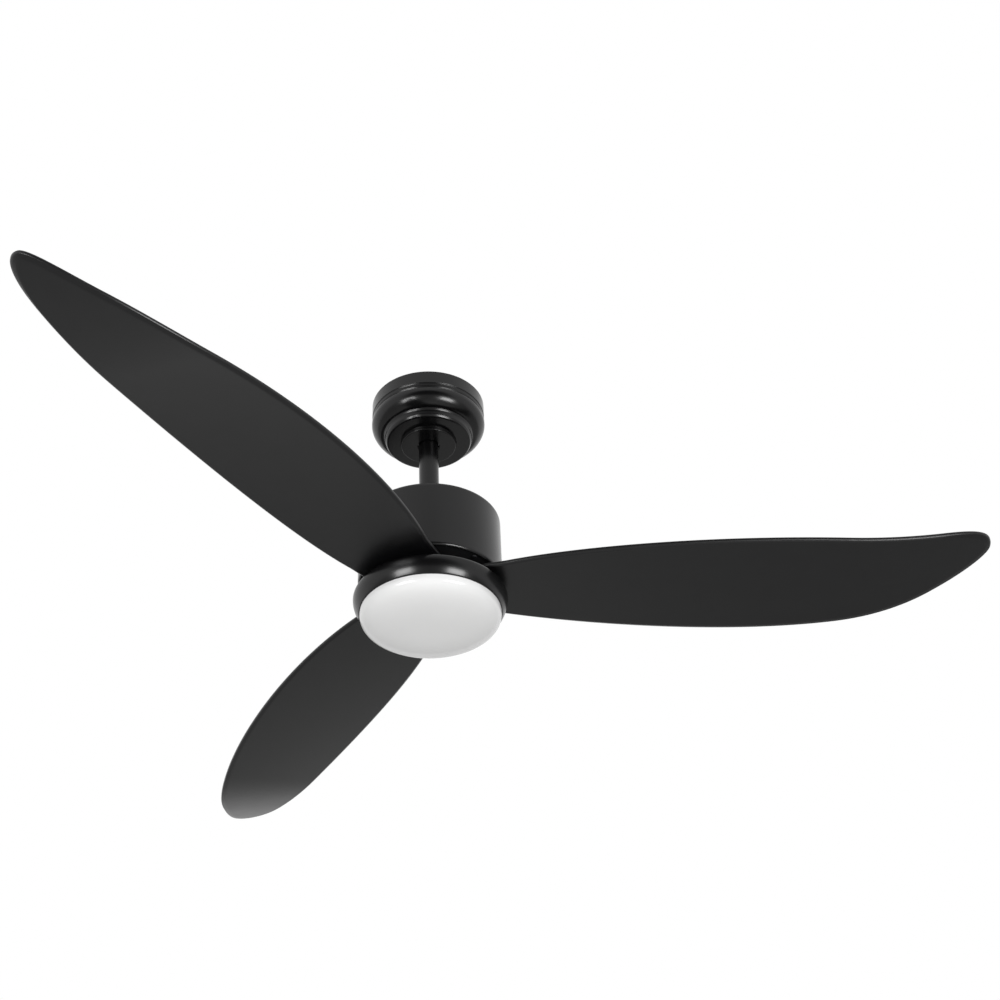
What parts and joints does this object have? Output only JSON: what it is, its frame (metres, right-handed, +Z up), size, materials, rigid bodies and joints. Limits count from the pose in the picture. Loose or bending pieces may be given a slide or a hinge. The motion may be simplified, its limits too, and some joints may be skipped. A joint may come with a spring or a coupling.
{
  "type": "ceiling fan with light",
  "caption": "Dark grey ceiling fan with swept, twisted blades, a short downrod, a drum motor housing and a round opal light under the motor.",
  "frame": {"origin": "centre of the hanger bracket's ceiling face, on the fan's turning axis", "axes": "+Z up, out of the ceiling face into the ceiling; -Z down along the downrod; +X along the hanger bracket and, at rest, along one blade"},
  "size_m": [1.0458, 1.1431, 0.338],
  "materials": {
    "dark_paint": "satin",
    "blade_plastic": "matte",
    "opal": "gloss",
    "zinc": "satin",
    "steel": "satin",
    "black_screw": "satin",
    "lamination": "matte",
    "copper": "satin",
    "magnet": "matte",
    "cast_metal": "matte",
    "rubber": "matte",
    "black_plastic": "matte",
    "white_plastic": "matte",
    "board": "satin"
  },
  "bodies": {
    "ceiling": {"hanger_bracket": "zinc", "canopy": "dark_paint", "canopy_cover_disc": "dark_paint", "canopy_screw_1": "zinc", "canopy_screw_2": "zinc", "receiver": "white_plastic"},
    "hanging": {"hanger_ball": "black_plastic", "ball_pin": "steel", "downrod": "dark_paint", "yoke": "cast_metal", "yoke_pin": "steel", "yoke_clip": "steel", "yoke_set_screw": "steel", "coupling_cover": "dark_paint", "motor_housing": "dark_paint", "housing_screw_1": "steel", "housing_screw_2": "steel", "housing_screw_3": "steel", "motor_shaft": "steel", "stator_core": "lamination", "stator_windings": "copper", "light_plate": "zinc", "shaft_nut": "zinc", "light_screw_1": "zinc", "light_screw_2": "zinc", "light_screw_3": "zinc", "light_ring": "dark_paint", "led_driver": "white_plastic", "led_board": "board", "board_screw_1": "steel", "board_screw_2": "steel", "board_screw_3": "steel", "diffuser": "opal"},
    "rotor": {"rotor_cap": "cast_metal", "rotor_base": "cast_metal", "bearing_upper": "steel", "bearing_lower": "steel", "magnet_ring": "magnet", "rotor_screw_1": "black_screw", "rotor_screw_2": "black_screw", "rotor_screw_3": "black_screw", "blade_gasket_1": "rubber", "blade_1": "blade_plastic", "blade_screw_1_1": "black_screw", "blade_screw_1_2": "black_screw", "blade_screw_1_3": "black_screw", "blade_gasket_2": "rubber", "blade_2": "blade_plastic", "blade_screw_2_1": "black_screw", "blade_screw_2_2": "black_screw", "blade_screw_2_3": "black_screw", "blade_gasket_3": "rubber", "blade_3": "blade_plastic", "blade_screw_3_1": "black_screw", "blade_screw_3_2": "black_screw", "blade_screw_3_3": "black_screw"}
  },
  "joints": [
    {"name": "ball_swing", "type": "hinge", "parent": "ceiling", "child": "hanging", "pos_m": [0, 0, -0.032], "axis": [1, 0, 0], "range_deg": [-2, 2]},
    {"name": "rotor_spin", "type": "hinge", "parent": "hanging", "child": "rotor", "pos_m": [0, 0, -0.28], "axis": [0, 0, 1], "continuous": true}
  ]
}
